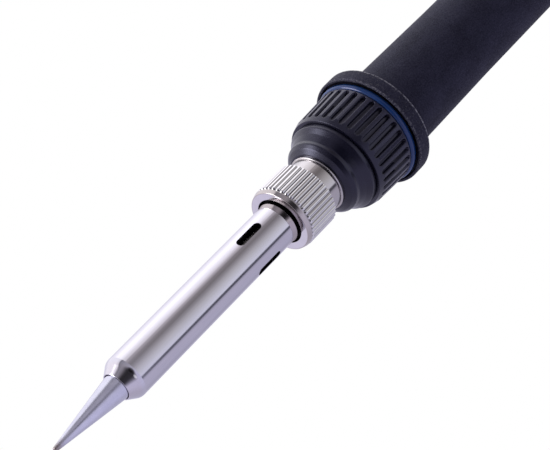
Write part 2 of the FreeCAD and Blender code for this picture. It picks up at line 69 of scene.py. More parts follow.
# ---- Nut ----
NUT_FRONT = 60.0
NUT_REAR = 52.0
NUT_FACE_R = 6.0
NUT_EDGE = 59.15
NUT_EDGE_R = 6.28
NUT_OPENING_R = 4.49
NUT_THREAD_R = 5.15
NUT_SEAT = 59.0
KNURL_COUNT = 41
KNURL_FRONT = 59.0
KNURL_TOP_R = 6.36
KNURL_ROOT_R = 6.05
KNURL_HALF_WIDTH = 0.43
KNURL_FLATNESS = 2.8
KNURL_STEEPNESS = 0.75
POINTS_PER_KNURL = 12

# ---- Nipple ----
NIPPLE_FRONT = 48.75
NIPPLE_REAR = 34.7
NIPPLE_FACE_R = 5.9
NIPPLE_EDGE = 48.15
NIPPLE_EDGE_R = 6.85
BUMP_ONE = 47.45
BUMP_ONE_R = 7.45
VALLEY = 46.65
VALLEY_R = 7.38
RISE = 45.5
RISE_R = 8.1
BUMP_TWO = 44.6
BUMP_TWO_R = 8.86
COLLAR_GROOVE = 43.7
COLLAR_GROOVE_R = 8.66
COLLAR_FRONT = 43.58
COLLAR_EDGE_R = 9.48
COLLAR_SHOULDER = 42.2
COLLAR_SHOULDER_R = 9.84
COLLAR_REAR_R = 10.1
SHANK_REAR = 42.5
SHANK_BORE_R = 4.87
NIPPLE_SHOULDER = 41.3
NIPPLE_SHOULDER_R = 5.15
NIPPLE_THREAD_R = 8.45
RIB_COUNT = 35
RIB_ROOT_R = 9.3
RIB_FRONT = 42.7
RIB_REAR = 35.0
RIB_GAP_HALF = 0.5
RIB_WALL = 0.2
POINTS_PER_RIB = 16

# ---- Blue ring ----
RING_FRONT = 34.6
RING_REAR = 33.25
RING_R = 10.4
RING_BORE_R = 8.6
RING_FILLET = 0.62

# ---- Grip and its finger guard ----
GUARD_FRONT = 33.5
GUARD_REAR = 30.5
GUARD_R = 11.35
GUARD_LIP_R = 10.8
GUARD_RECESS = 32.3
GUARD_RECESS_R = 10.7
STOP_REAR = 31.18
STOP_BORE_R = 9.62
GRIP_FRONT_R = 8.45
GRIP_STRAIGHT_FRONT = 5.0
GRIP_STRAIGHT_REAR = -38.0
GRIP_R = 8.15
GRIP_REAR = -42.0
GRIP_REAR_R = 7.95
GRIP_BORE_R = 6.95

# ---- Tube over the tip ----
MOUTH_LIP = 101.6
NECK_FRONT = 60.32
BEAD_FRONT = 61.4
ENCLOSURE_BORE_R = 3.35
ENCLOSURE_R = 4.0
VENTS_REAR = 65.15
VENTS_FRONT = 71.1

# ---- Stains and painted light ----
# On the tip, each from the station where it starts to the one where it is full.
TIP_BROWNED = (117.2, 119.2)
TIP_DULLED = (114.0, 118.2)
TIP_SHADE_IN_TUBE = (102.4, 101.8)
# How far back patches carry the browned and the dulled stretch, at most.
TIP_PATCHES = 2.5
# How many times paler the painted highlight on the collar's rib tops is.
HIGHLIGHT_GAIN = 5
# Black painted shade on the tip inside the tube.
TIP_SHADE_BLACK = (0.035, 0.032, 0.036)
OLD_SOLDER = (0.34, 0.30, 0.30)
DUST = (0.075, 0.074, 0.085)
RUBBED_RUBBER = (0.22, 0.22, 0.25)
# Black painted shade: inside the tube, in its vents, at its neck and in the nut's opening.
PAINTED_SHADE_BLACK = (0.012, 0.011, 0.013)
# Painted shade at the roots of the knurl's grooves.
GROOVE_SHADE = (0.10, 0.09, 0.09)
# Tarnish behind the nut, darkened further as painted shade.
TARNISH_AND_SHADE = (0.36, 0.33, 0.34)
# Heat tint with a painted brown reflection, on the tube's bead and the nut's chamfer.
HEAT_TINT_AND_REFLECTION = (0.34, 0.28, 0.25)
BLUISH = (0.72, 0.72, 1.0, 1)

# ---- Camera ----
# Its place is in metres from the middle of the nut's front, and its lens and sensor are in millimetres.
CAMERA_AZIMUTH = math.radians(126.5)
CAMERA_TILT = math.radians(48.7)
CAMERA_DISTANCE = 0.30718
CAMERA_RIGHT = -0.000774
CAMERA_UP = -0.000595
CAMERA_LENS = 117.8
CAMERA_SENSOR = 36
CAMERA_NEAR = 0.01
CAMERA_FAR = 20

# ---- Floor, in metres ----
FLOOR_HALF = 6.0
FLOOR_DROP = 0.15

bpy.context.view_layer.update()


# ---- Mesh helpers ----

def rounded(points):
    """The points of a closed outline with its corners rounded."""
    places = [Vector(point[:2]) for point in points]
    outline = []
    for index, place in enumerate(places):
        fillet = points[index][2] if len(points[index]) == 3 else 0
        if not fillet:
            outline.append(place)
            continue
        before = (places[index - 1] - place).normalized()
        after = (places[(index + 1) % len(places)] - place).normalized()
        half = before.angle(after) / 2
        centre = place + (before + after).normalized() * (fillet / math.sin(half))
        start = place + before * (fillet / math.tan(half)) - centre
        sweep = start.angle_signed(place + after * (fillet / math.tan(half)) - centre)
        for step in range(FILLET_STEPS + 1):
            spoke = start.copy()
            spoke.rotate(Matrix.Rotation(-sweep * step / FILLET_STEPS, 2))
            outline.append(centre + spoke)
    return outline


def spaced(outline, spacing):
    """The same closed outline, with no run longer than spacing."""
    result = []
    for index, place in enumerate(outline):
        following = outline[(index + 1) % len(outline)]
        pieces = max(1, math.ceil((following - place).length / spacing))
        for piece in range(pieces):
            result.append(place.lerp(following, piece / pieces))
    return result


def lathe(name, points, segments, spacing, shape=None):
    """A closed mesh turned from an outline.  shape(x, r, clock) gives a point's radius, if it varies."""
    outline = spaced(rounded(points), spacing)
    verts = []
    for place in outline:
        for segment in range(segments):
            clock = 2 * math.pi * segment / segments
            radius = shape(place.x, place.y, clock) if shape else place.y
            verts.append((place.x * MM, radius * math.sin(clock) * MM, radius * math.cos(clock) * MM))
    faces = []
    for ring in range(len(outline)):
        this_ring = ring * segments
        next_ring = (ring + 1) % len(outline) * segments
        for segment in range(segments):
            beside = (segment + 1) % segments
            faces.append((this_ring + segment, this_ring + beside, next_ring + beside, next_ring + segment))
    mesh = bpy.data.meshes.new(name)
    mesh.from_pydata(verts, [], faces)
    mesh.validate()
    mesh.shade_smooth()
    mesh.set_sharp_from_angle(angle=SHARP_EDGE)
    piece = bpy.data.objects.new(name, mesh)
    bpy.context.scene.collection.objects.link(piece)
    weighted = piece.modifiers.new("weighted_normals", "WEIGHTED_NORMAL")
    weighted.keep_sharp = True
    return piece


def stands_for(piece, node, body, material):
    """Gives a piece its material, body and slot, and hides the CAD node that it stands for."""
    piece.data.materials.append(material)
    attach(piece, body)
    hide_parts(node)


# ---- Shader helpers ----

def add_node(tree, kind, inputs=None, **settings):
    """A shader node.  An input given a socket is linked to it, and any other value is set."""
    made = tree.nodes.new(kind)
    for key, value in settings.items():
        setattr(made, key, value)
    for key, value in (inputs or {}).items():
        if isinstance(value, bpy.types.NodeSocket):
            tree.links.new(value, made.inputs[key])
        else:
            made.inputs[key].default_value = value
    return made


def maths(tree, operation, first, second=0.0, third=0.0):
    """The result socket of a maths node."""
    return add_node(tree, "ShaderNodeMath", {0: first, 1: second, 2: third}, operation=operation).outputs[0]


def between(tree, value, low, high, low_result=0.0, high_result=1.0):
    """A value brought smoothly from one range to another, and held at its ends."""
    inputs = {"Value": value, "From Min": low, "From Max": high, "To Min": low_result, "To Max": high_result}
    return add_node(tree, "ShaderNodeMapRange", inputs, interpolation_type="SMOOTHSTEP").outputs["Result"]


def ramp(tree, factor, stops):
    """The colour socket of a colour ramp.  A stop is (position, (red, green, blue))."""
    made = add_node(tree, "ShaderNodeValToRGB", {"Fac": factor})
    elements = made.color_ramp.elements
    while len(elements) < len(stops):
        elements.new(0.5)
    for element, (position, colour) in zip(elements, stops):
        element.position = position
        element.color = (*colour, 1)
    return made.outputs["Color"]


def mixed(tree, factor, first, second):
    """The colour socket of a mix of two colours."""
    inputs = {"Fac": factor, "Color1": first, "Color2": second}
    return add_node(tree, "ShaderNodeMixRGB", inputs).outputs["Color"]


def both(tree, first, second):
    """Where two masks overlap."""
    return maths(tree, "MULTIPLY", first, second)


def either(tree, first, second):
    """Where at least one of two masks is."""
    return maths(tree, "MAXIMUM", first, second)


def faint(tree, mask, strength):
    """A mask at part of its strength."""
    return maths(tree, "MULTIPLY", mask, strength)


def near(tree, value, middle, outer, inner):
    """A mask that is full within inner of a middle value, and gone beyond outer."""
    away = maths(tree, "ABSOLUTE", maths(tree, "SUBTRACT", value, middle))
    return between(tree, away, outer, inner)


def blended(tree, first, share, second):
    """Two patterns added up, the first with its share of the whole."""
    return maths(tree, "MULTIPLY_ADD", first, share, maths(tree, "MULTIPLY", second, 1 - share))


def own_place(tree):
    """The place on the object, in its own frame."""
    return add_node(tree, "ShaderNodeTexCoord").outputs["Object"]


def noise(tree, stretch, detail=3.0, roughness=0.55):
    """Noise fixed to the object.  stretch is how many bumps there are per millimetre on each axis."""
    scale = Vector(stretch) / MM
    mapped = add_node(tree, "ShaderNodeMapping", {"Vector": own_place(tree), "Scale": scale})
    inputs = {"Vector": mapped.outputs["Vector"], "Scale": 1.0, "Detail": detail, "Roughness": roughness}
    return add_node(tree, "ShaderNodeTexNoise", inputs).outputs["Fac"]


def checker(tree, per_mm):
    """Crossing squares fixed to the object."""
    inputs = {"Vector": own_place(tree), "Scale": per_mm / MM}
    return add_node(tree, "ShaderNodeTexChecker", inputs).outputs["Fac"]


def along(tree):
    """The station along the axis, in millimetres."""
    x = add_node(tree, "ShaderNodeSeparateXYZ", {"Vector": own_place(tree)}).outputs["X"]
    return maths(tree, "DIVIDE", x, MM)


def from_axis(tree):
    """The distance from the axis, in millimetres."""
    parts = add_node(tree, "ShaderNodeSeparateXYZ", {"Vector": own_place(tree)})
    across = add_node(tree, "ShaderNodeCombineXYZ", {"Y": parts.outputs["Y"], "Z": parts.outputs["Z"]})
    inputs = {0: across.outputs["Vector"]}
    length = add_node(tree, "ShaderNodeVectorMath", inputs, operation="LENGTH").outputs["Value"]
    return maths(tree, "DIVIDE", length, MM)


def stained(tree, mask, colour, rough, stain, extra_roughness):
    """Colour and roughness with a matt stain where the mask says."""
    stained_rough = maths(tree, "MULTIPLY_ADD", mask, extra_roughness, rough)
    return mixed(tree, mask, colour, (*stain, 1)), stained_rough


def bump(tree, height, depth):
    """A normal socket that stands a height pattern proud by depth millimetres."""
    inputs = {"Height": height, "Distance": depth * MM, "Strength": 1.0}
    return add_node(tree, "ShaderNodeBump", inputs).outputs["Normal"]


def new_material(name, metallic=0.0, specular=0.5):
    """A material with its node tree and its main shader."""
    made = bpy.data.materials.new(name)
    made.use_nodes = True
    shader = made.node_tree.nodes["Principled BSDF"]
    shader.inputs["Metallic"].default_value = metallic
    shader.inputs["Specular IOR Level"].default_value = specular
    return made, made.node_tree, shader


def finish_shader(tree, shader, colour, roughness, normal):
    """Links a material's colour, roughness and normal."""
    tree.links.new(colour, shader.inputs["Base Color"])
    tree.links.new(roughness, shader.inputs["Roughness"])
    tree.links.new(normal, shader.inputs["Normal"])


# ---- Materials ----

def metal_finish(tree, pale, dark, roughness, stretch):
    """Colour, roughness and line pattern of metal with fine lines.  stretch says which way they run."""
    lines = noise(tree, stretch, detail=4.0)
    clouds = noise(tree, (0.12, 0.25, 0.25))
    tone = blended(tree, clouds, 0.6, lines)
    colour = ramp(tree, tone, [(0.3, dark), (0.7, pale)])
    rough = between(tree, tone, 0.3, 0.7, roughness * 1.2, roughness * 0.85)
    return colour, rough, lines


def brushed_metal(name, pale, dark, roughness, stretch, depth):
    """Metal with fine drawn or turned lines, which stand proud by depth millimetres."""
    made, tree, shader = new_material(name, metallic=1.0)
    colour, rough, lines = metal_finish(tree, pale, dark, roughness, stretch)
    finish_shader(tree, shader, colour, rough, bump(tree, lines, depth))
    return made


def stainless_tube():
    """Drawn stainless steel: browned at the bead by heat tint and a painted reflection, and painted black as
    shade inside, in the vents and at the neck.
    """
    made, tree, shader = new_material("stainless_tube", metallic=1.0)
    colour, rough, lines = metal_finish(tree, (0.63, 0.615, 0.68), (0.57, 0.56, 0.63), 0.10, (0.15, 5.0, 5.0))
    radius = from_axis(tree)
    station = along(tree)
    inside = between(tree, radius, ENCLOSURE_BORE_R + 0.15, ENCLOSURE_BORE_R + 0.05)
    behind_lip = between(tree, station, MOUTH_LIP, MOUTH_LIP - 0.3)
    neck = between(tree, station, NECK_FRONT, NECK_FRONT - 0.05)
    below_skin = between(tree, radius, ENCLOSURE_R - 0.04, ENCLOSURE_R - 0.1)
    ahead_of_rear = between(tree, station, VENTS_REAR - 0.5, VENTS_REAR - 0.2)
    behind_front = between(tree, station, VENTS_FRONT + 0.5, VENTS_FRONT + 0.2)
    vents = both(tree, below_skin, both(tree, ahead_of_rear, behind_front))
    # Painted shade: black inside the mouth, at the neck and in the vents.
    dark = either(tree, either(tree, both(tree, inside, behind_lip), neck), vents)
    bead = between(tree, station, BEAD_FRONT + 0.1, BEAD_FRONT)
    # Heat tint and a painted brown reflection on the bead.
    colour, rough = stained(tree, faint(tree, bead, 0.6), colour, rough, HEAT_TINT_AND_REFLECTION, 0.06)
    colour, rough = stained(tree, dark, colour, rough, PAINTED_SHADE_BLACK, 0.4)
    finish_shader(tree, shader, colour, rough, bump(tree, lines, 0.0008))
    return made


def nickel_plate():
    """Nickel plate: painted shade in the grooves and the opening, a chamfer browned by heat tint and a
    painted reflection, and tarnish with painted shade behind the nut.
    """
    made, tree, shader = new_material("nickel_plate", metallic=1.0)
    colour, rough, lines = metal_finish(tree, (0.72, 0.71, 0.73), (0.64, 0.63, 0.65), 0.09, (9.0, 0.5, 0.5))
    radius = from_axis(tree)
    station = along(tree)
    at_roots = both(tree, between(tree, radius, KNURL_ROOT_R + 0.16, KNURL_ROOT_R + 0.02),
                    between(tree, radius, KNURL_ROOT_R - 0.12, KNURL_ROOT_R - 0.08))
    on_band = both(tree, between(tree, station, NUT_REAR, NUT_REAR + 0.1),
                   between(tree, station, KNURL_FRONT, KNURL_FRONT - 0.1))
    grooves = both(tree, at_roots, on_band)
    opening = both(tree, between(tree, radius, NUT_OPENING_R + 0.12, NUT_OPENING_R + 0.04),
                   between(tree, station, NUT_SEAT - 0.5, NUT_SEAT))
    chamfer = both(tree, between(tree, radius, NUT_FACE_R - 0.25, NUT_FACE_R),
                   between(tree, station, KNURL_FRONT, NUT_EDGE))
    behind_nut = between(tree, station, NUT_REAR, NUT_REAR - 0.2)
    # Painted shade at the groove roots.
    colour, rough = stained(tree, faint(tree, grooves, 0.6), colour, rough, GROOVE_SHADE, 0.15)
    # Painted shade: black in the opening.
    colour, rough = stained(tree, opening, colour, rough, PAINTED_SHADE_BLACK, 0.3)
    # Heat tint and a painted brown reflection on the chamfer.
    colour, rough = stained(tree, faint(tree, chamfer, 0.55), colour, rough, HEAT_TINT_AND_REFLECTION, 0.06)
    # Tarnish with painted shade behind the nut.
    colour, rough = stained(tree, faint(tree, behind_nut, 0.6), colour, rough, TARNISH_AND_SHADE, 0.05)
    finish_shader(tree, shader, colour, rough, bump(tree, lines, 0.0005))
    return made


def tip_plating():
    """Satin plating of the tip: browned by old solder at its end, and painted black as shade inside the tube.
    """
    made, tree, shader = new_material("tip_plating", metallic=1.0)
    patches = noise(tree, (0.5, 0.8, 0.8))
    grain = noise(tree, (6.0, 6.0, 6.0), detail=2.0)
    station = along(tree)
    place = maths(tree, "MULTIPLY_ADD", patches, TIP_PATCHES, station)
    used = between(tree, place, *TIP_BROWNED)
    clean = ramp(tree, patches, [(0.3, (0.56, 0.56, 0.66)), (0.7, (0.64, 0.64, 0.74))])
    browned = mixed(tree, used, clean, (*OLD_SOLDER, 1))
    end_rough = between(tree, place, *TIP_DULLED, 0.2, 0.42)
    # Painted shade: black inside the tube.
    in_tube = between(tree, station, *TIP_SHADE_IN_TUBE)
    colour, rough = stained(tree, in_tube, browned, end_rough, TIP_SHADE_BLACK, 0.25)
    finish_shader(tree, shader, colour, rough, bump(tree, grain, 0.006))
    return made


def moulded_plastic(name, pale, dark, roughness, grain_per_mm, depth, specular=0.5, highlight_r=None):
    """Moulded plastic with a fine grain, and a painted highlight out at highlight_r where that is given."""
    made, tree, shader = new_material(name, specular=specular)
    shader.inputs["Specular Tint"].default_value = BLUISH
    grain = noise(tree, (grain_per_mm,) * 3, detail=2.0)
    clouds = noise(tree, (0.2, 0.3, 0.3))
    colour = ramp(tree, clouds, [(0.35, dark), (0.65, pale)])
    if highlight_r:
        # Painted highlight: paler patches out at highlight_r, where the collar's ribs stand furthest.
        highlight_band = between(tree, from_axis(tree), highlight_r - 0.25, highlight_r)
        highlight_patches = both(tree, highlight_band, between(tree, grain, 0.35, 0.75, 0.0, 0.7))
        colour = mixed(tree, highlight_patches, colour, (*(HIGHLIGHT_GAIN * channel for channel in pale), 1))
    rough = between(tree, clouds, 0.3, 0.7, roughness * 0.9, roughness * 1.15)
    finish_shader(tree, shader, colour, rough, bump(tree, grain, depth))
    return made


def grip_rubber():
    """Matt rubber: speckled with dust on the finger guard, and worn pale along the guard's edges."""
    made, tree, shader = new_material("grip_rubber", specular=0.2)
    shader.inputs["Specular Tint"].default_value = BLUISH
    grain = noise(tree, (3.5, 4.5, 4.5), roughness=0.65)
    specks = noise(tree, (3.2, 3.2, 3.2), detail=4.0, roughness=0.7)
    clouds = noise(tree, (0.15, 0.3, 0.3))
    tone = blended(tree, clouds, 0.4, grain)
    rubber = ramp(tree, tone, [(0.38, (0.006, 0.006, 0.016)), (0.64, (0.024, 0.024, 0.046))])
    guard = between(tree, from_axis(tree), GUARD_R - 0.95, GUARD_R - 0.35)
    dust = both(tree, guard, between(tree, specks, 0.52, 0.68, 0.0, 0.8))
    dusty = mixed(tree, dust, rubber, (*DUST, 1))
    station = along(tree)
    rear_edge = near(tree, station, GUARD_REAR + 0.25, 0.28, 0.08)
    front_edge = near(tree, station, GUARD_FRONT - 0.15, 0.22, 0.05)
    edges = both(tree, either(tree, rear_edge, faint(tree, front_edge, 0.45)), guard)
    worn = both(tree, edges, between(tree, specks, 0.4, 0.6))
    colour = mixed(tree, worn, dusty, (*RUBBED_RUBBER, 1))
    rough = between(tree, grain, 0.3, 0.7, 0.75, 0.55)
    finish_shader(tree, shader, colour, rough, bump(tree, grain, 0.035))
    return made


def ceramic():
    """Fired, unglazed ceramic with a faint mottle."""
    made, tree, shader = new_material("heater_ceramic", specular=0.4)
    mottle = noise(tree, (1.2, 2.0, 2.0))
    grain = noise(tree, (9.0, 9.0, 9.0), detail=2.0)
    colour = ramp(tree, mottle, [(0.3, (0.72, 0.69, 0.62)), (0.7, (0.82, 0.80, 0.75))])
    finish_shader(tree, shader, colour, between(tree, grain, 0.3, 0.7, 0.5, 0.7), bump(tree, grain, 0.008))
    return made


def woven_sleeving(name, pale, dark):
    """Woven insulating sleeve, with a fine check of crossing yarns."""
    made, tree, shader = new_material(name, specular=0.3)
    fibres = noise(tree, (2.0, 12.0, 12.0))
    tone = blended(tree, checker(tree, 5.0), 0.35, fibres)
    colour = ramp(tree, tone, [(0.25, dark), (0.7, pale)])
    finish_shader(tree, shader, colour, between(tree, fibres, 0.3, 0.7, 0.6, 0.8), bump(tree, tone, 0.02))
    return made


def board_laminate():
    """Fibreglass laminate, with its weave just showing through a lacquered face."""
    made, tree, shader = new_material("board_laminate")
    weave = checker(tree, 2.2)
    clouds = noise(tree, (0.4, 0.6, 0.6))
    tone = blended(tree, weave, 0.2, clouds)
    colour = ramp(tree, tone, [(0.25, (0.10, 0.22, 0.07)), (0.7, (0.17, 0.33, 0.11))])
    finish_shader(tree, shader, colour, between(tree, clouds, 0.3, 0.7, 0.28, 0.42), bump(tree, weave, 0.006))
    return made


def dull_solder():
    """Solder that cooled slowly, with a frosty grain."""
    made, tree, shader = new_material("solder", metallic=1.0)
    frost = noise(tree, (5.0, 5.0, 5.0), detail=4.0)
    colour = ramp(tree, frost, [(0.3, (0.42, 0.42, 0.43)), (0.7, (0.60, 0.60, 0.61))])
    finish_shader(tree, shader, colour, between(tree, frost, 0.3, 0.7, 0.3, 0.5), bump(tree, frost, 0.02))
    return made


def make_materials():
    """Every material, by the name of its slot in the record."""
    even_grain = (4.0, 4.0, 4.0)
    return {
        "tip_plating": tip_plating(),
        "stainless_tube": stainless_tube(),
        "nickel_plate": nickel_plate(),
        "nipple_plastic": moulded_plastic("nipple_plastic", (0.006, 0.006, 0.014), (0.004, 0.004, 0.010),
                                          0.25, 6.0, 0.006, specular=0.55, highlight_r=COLLAR_REAR_R - 0.1),
        "blue_plastic": moulded_plastic("blue_plastic", (0.010, 0.042, 0.15), (0.007, 0.032, 0.12),
                                        0.12, 4.0, 0.002),
        "handle_plastic": moulded_plastic("handle_plastic", (0.014, 0.014, 0.019), (0.010, 0.010, 0.014),
                                          0.38, 5.0, 0.012),
        "grip_rubber": grip_rubber(),
        "heater_ceramic": ceramic(),
        "spring_steel": brushed_metal("spring_steel", (0.66, 0.64, 0.62), (0.55, 0.53, 0.51),
                                      0.22, even_grain, 0.002),
        "lead_wire": brushed_metal("lead_wire", (0.72, 0.71, 0.69), (0.60, 0.59, 0.58),
                                   0.3, even_grain, 0.002),
        "sleeving_white": woven_sleeving("sleeving_white", (0.80, 0.79, 0.75), (0.60, 0.59, 0.56)),
        "sleeving_red": woven_sleeving("sleeving_red", (0.50, 0.03, 0.02), (0.32, 0.02, 0.015)),
        "board_laminate": board_laminate(),
        "copper": brushed_metal("copper", (0.80, 0.42, 0.28), (0.66, 0.33, 0.22),
                                0.28, even_grain, 0.002),
        "tinned_brass": brushed_metal("tinned_brass", (0.74, 0.70, 0.60), (0.62, 0.58, 0.50),
                                      0.26, even_grain, 0.002),
        "solder": dull_solder(),
    }


# ---- Pieces ----

def knurled(x, r, clock):
    """Radius on the nut: ridges with round front ends stand on the band, and the rest is as turned."""
    on_ridges = NUT_REAR < x <= KNURL_FRONT and r > KNURL_ROOT_R - SKIN
    if not on_ridges:
        return r
    pitch = 2 * math.pi / KNURL_COUNT
    beside = (clock % pitch - pitch / 2) * r
    past_end = max(0.0, x - (KNURL_FRONT - KNURL_HALF_WIDTH))
    share = math.hypot(beside, past_end) / KNURL_HALF_WIDTH
    if share >= 1:
        return r
    return r + (KNURL_TOP_R - KNURL_ROOT_R) * (1 - share ** KNURL_FLATNESS) ** KNURL_STEEPNESS


def make_nut(material):
    """Retaining nut with a band of rounded ridges round it."""
    nut = lathe("knurled_nut", [
        (NUT_FRONT, NUT_OPENING_R, 0.12),
        (NUT_FRONT, NUT_FACE_R, 0.12),
        (NUT_EDGE, NUT_EDGE_R, 0.12),
        (KNURL_FRONT, KNURL_ROOT_R, 0.05),
        (NUT_REAR + 0.3, KNURL_ROOT_R),
        (NUT_REAR, KNURL_ROOT_R - 0.25),
        (NUT_REAR, NUT_THREAD_R + 0.2),
        (NUT_REAR + 0.2, NUT_THREAD_R),
        (NUT_SEAT, NUT_THREAD_R),
        (NUT_SEAT, NUT_OPENING_R),
    ], segments=KNURL_COUNT * POINTS_PER_KNURL, spacing=0.12, shape=knurled)
    stands_for(nut, "retaining_nut", "nut", material)


def ribbed(x, r, clock):
    """Radius on the nipple: round-ended grooves are sunk between the collar's ribs."""
    if not (RIB_REAR - RIB_WALL < x < RIB_FRONT + RIB_WALL and r > RIB_ROOT_R):
        return r
    pitch = 2 * math.pi / RIB_COUNT
    beside = ((clock + pitch / 2) % pitch - pitch / 2) * r
    front_centre = RIB_FRONT - RIB_GAP_HALF
    rear_centre = RIB_REAR + RIB_GAP_HALF
    past_end = max(0.0, x - front_centre, rear_centre - x)
    inside = min(1.0, max(0.0, (RIB_GAP_HALF - math.hypot(beside, past_end)) / RIB_WALL))
    return r - (r - RIB_ROOT_R) * inside * inside * (3 - 2 * inside)


def make_nipple(material):
    """Nipple: two soft steps, then the ribbed collar."""
    nipple = lathe("ribbed_nipple", [
        (NIPPLE_FRONT, SHANK_BORE_R),
        (NIPPLE_FRONT, NIPPLE_FACE_R, 0.3),
        (NIPPLE_EDGE, NIPPLE_EDGE_R, 0.6),
        (BUMP_ONE, BUMP_ONE_R, 0.45),
        (VALLEY, VALLEY_R, 0.6),
        (RISE, RISE_R, 0.6),
        (BUMP_TWO, BUMP_TWO_R, 0.4),
        (COLLAR_GROOVE, BUMP_TWO_R, 0.1),
        (COLLAR_GROOVE, COLLAR_GROOVE_R),
        (COLLAR_FRONT, COLLAR_GROOVE_R),
        (COLLAR_FRONT, COLLAR_EDGE_R, 0.12),
        (COLLAR_SHOULDER, COLLAR_SHOULDER_R, 0.4),
        (NIPPLE_REAR, COLLAR_REAR_R, 0.15),
        (NIPPLE_REAR, NIPPLE_THREAD_R),
        (NIPPLE_SHOULDER, NIPPLE_THREAD_R),
        (NIPPLE_SHOULDER, NIPPLE_SHOULDER_R),
        (SHANK_REAR, NIPPLE_SHOULDER_R),
        (SHANK_REAR, SHANK_BORE_R),
    ], segments=RIB_COUNT * POINTS_PER_RIB, spacing=0.14, shape=ribbed)
    stands_for(nipple, "nipple", "nipple", material)


def make_ring(material):
    """Blue ring with a rounded crest."""
    ring = lathe("crested_ring", [
        (RING_FRONT, RING_BORE_R, 0.1),
        (RING_FRONT, RING_R, RING_FILLET),
        (RING_REAR, RING_R, RING_FILLET),
        (RING_REAR, RING_BORE_R, 0.1),
    ], segments=256, spacing=0.4)
    stands_for(ring, "blue_ring", "ring", material)


def make_grip(material):
    """Grip sleeve with its finger guard."""
    grip = lathe("rubber_grip", [
        (GUARD_RECESS, STOP_BORE_R),
        (GUARD_RECESS, GUARD_RECESS_R, 0.1),
        (GUARD_FRONT, GUARD_LIP_R, 0.15),
        (GUARD_FRONT, GUARD_R, 0.3),
        (GUARD_REAR, GUARD_R, 0.35),
        (GUARD_REAR, GRIP_FRONT_R, 0.6),
        (GRIP_STRAIGHT_FRONT, GRIP_R),
        (GRIP_STRAIGHT_REAR, GRIP_R),
        (GRIP_REAR, GRIP_REAR_R, 0.8),
        (GRIP_REAR, GRIP_BORE_R),
        (STOP_REAR, GRIP_BORE_R),
        (STOP_REAR, STOP_BORE_R),
    ], segments=256, spacing=1.0)
    stands_for(grip, "grip_sleeve", "handle", material)


# ---- Stage ----

def camera_axes():
    """The camera's right, up and backward directions."""
    right = Vector((math.cos(CAMERA_AZIMUTH), math.sin(CAMERA_AZIMUTH), 0))
    level = Vector((right.y, -right.x, 0))
    back = level * math.cos(CAMERA_TILT) + Vector((0, 0, math.sin(CAMERA_TILT)))
    return right, back.cross(right), back


def make_camera():
    """A long lens above and in front of the iron, so placed that the tip points down to the left."""
    right, up, back = camera_axes()
    lens = bpy.data.cameras.new("camera")
    lens.lens = CAMERA_LENS
    lens.sensor_width = CAMERA_SENSOR
    lens.clip_start = CAMERA_NEAR
    lens.clip_end = CAMERA_FAR
    camera = bpy.data.objects.new("camera", lens)
    nut_front = Vector((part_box("retaining_nut")[1].x, 0, 0))
    place = nut_front + right * CAMERA_RIGHT + up * CAMERA_UP + back * CAMERA_DISTANCE
    camera.matrix_world = Matrix((right, up, back)).transposed().to_4x4()
    camera.location = place
    bpy.context.scene.collection.objects.link(camera)
    bpy.context.scene.camera = camera


def make_floor():
    """A plain white floor, lit evenly like a sheet of backlit paper, so that no shadow shows on it."""
    half = FLOOR_HALF
    corners = [(-half, -half, 0), (half, -half, 0), (half, half, 0), (-half, half, 0)]
    mesh = bpy.data.meshes.new("floor")
    mesh.from_pydata(corners, [], [(0, 1, 2, 3)])
    floor = bpy.data.objects.new("floor", mesh)
    floor.location.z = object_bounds()[0][2] - FLOOR_DROP
    bpy.context.scene.collection.objects.link(floor)
    made = bpy.data.materials.new("white_floor")
    made.use_nodes = True
    tree = made.node_tree
    glow = add_node(tree, "ShaderNodeEmission", {"Color": (1, 1, 1, 1), "Strength": 1.0})
    tree.links.new(glow.outputs[0], tree.nodes["Material Output"].inputs["Surface"])
    mesh.materials.append(made)
    floor.visible_glossy = False
    floor.visible_diffuse = False
    floor.visible_shadow = False


# Light from all round the iron's axis: (clock angle in degrees, (red, green, blue)).
STUDIO = [
    (-180, (0.60, 0.58, 0.70)),
    (-152, (0.84, 0.80, 1.02)),
    (-125, (0.95, 0.93, 1.02)),
    (-106, (1.28, 1.26, 1.34)),
    (-95, (1.42, 1.40, 1.46)),
    (-80, (1.75, 1.73, 1.80)),
    (-62, (1.68, 1.66, 1.72)),
    (-52, (1.45, 1.42, 1.46)),
    (-42, (1.32, 1.28, 1.32)),
    (-27, (0.78, 0.73, 0.75)),
    (-12, (0.36, 0.33, 0.34)),
    (1, (0.26, 0.24, 0.24)),
    (14, (0.39, 0.37, 0.38)),
    (28, (0.58, 0.56, 0.57)),
    (41, (0.71, 0.70, 0.72)),
    (58, (0.84, 0.84, 0.91)),
    (74, (0.92, 0.92, 1.04)),
    (78, (0.12, 0.12, 0.15)),
    (86, (0.10, 0.10, 0.13)),
    (91, (0.50, 0.48, 0.58)),
    (100, (0.62, 0.59, 0.72)),
    (134, (0.60, 0.58, 0.72)),
    (162, (0.50, 0.48, 0.60)),
    (180, (0.60, 0.58, 0.70)),
]
# The same, as the slopes that face forwards mirror it.
STUDIO_AHEAD = [
    (-180, (0.60, 0.58, 0.70)),
    (-152, (0.80, 0.78, 1.00)),
    (-125, (0.95, 0.93, 1.02)),
    (-106, (1.30, 1.28, 1.34)),
    (-60, (1.30, 1.28, 1.34)),
    (-48, (1.10, 1.08, 1.14)),
    (-42, (0.25, 0.24, 0.28)),
    (-36, (0.38, 0.37, 0.42)),
    (-12, (0.46, 0.44, 0.50)),
    (1, (0.50, 0.48, 0.55)),
    (20, (0.60, 0.58, 0.68)),
    (41, (0.72, 0.70, 0.86)),
    (67, (0.74, 0.72, 0.92)),
    (100, (0.72, 0.70, 0.90)),
    (134, (0.60, 0.58, 0.72)),
    (180, (0.60, 0.58, 0.70)),
]
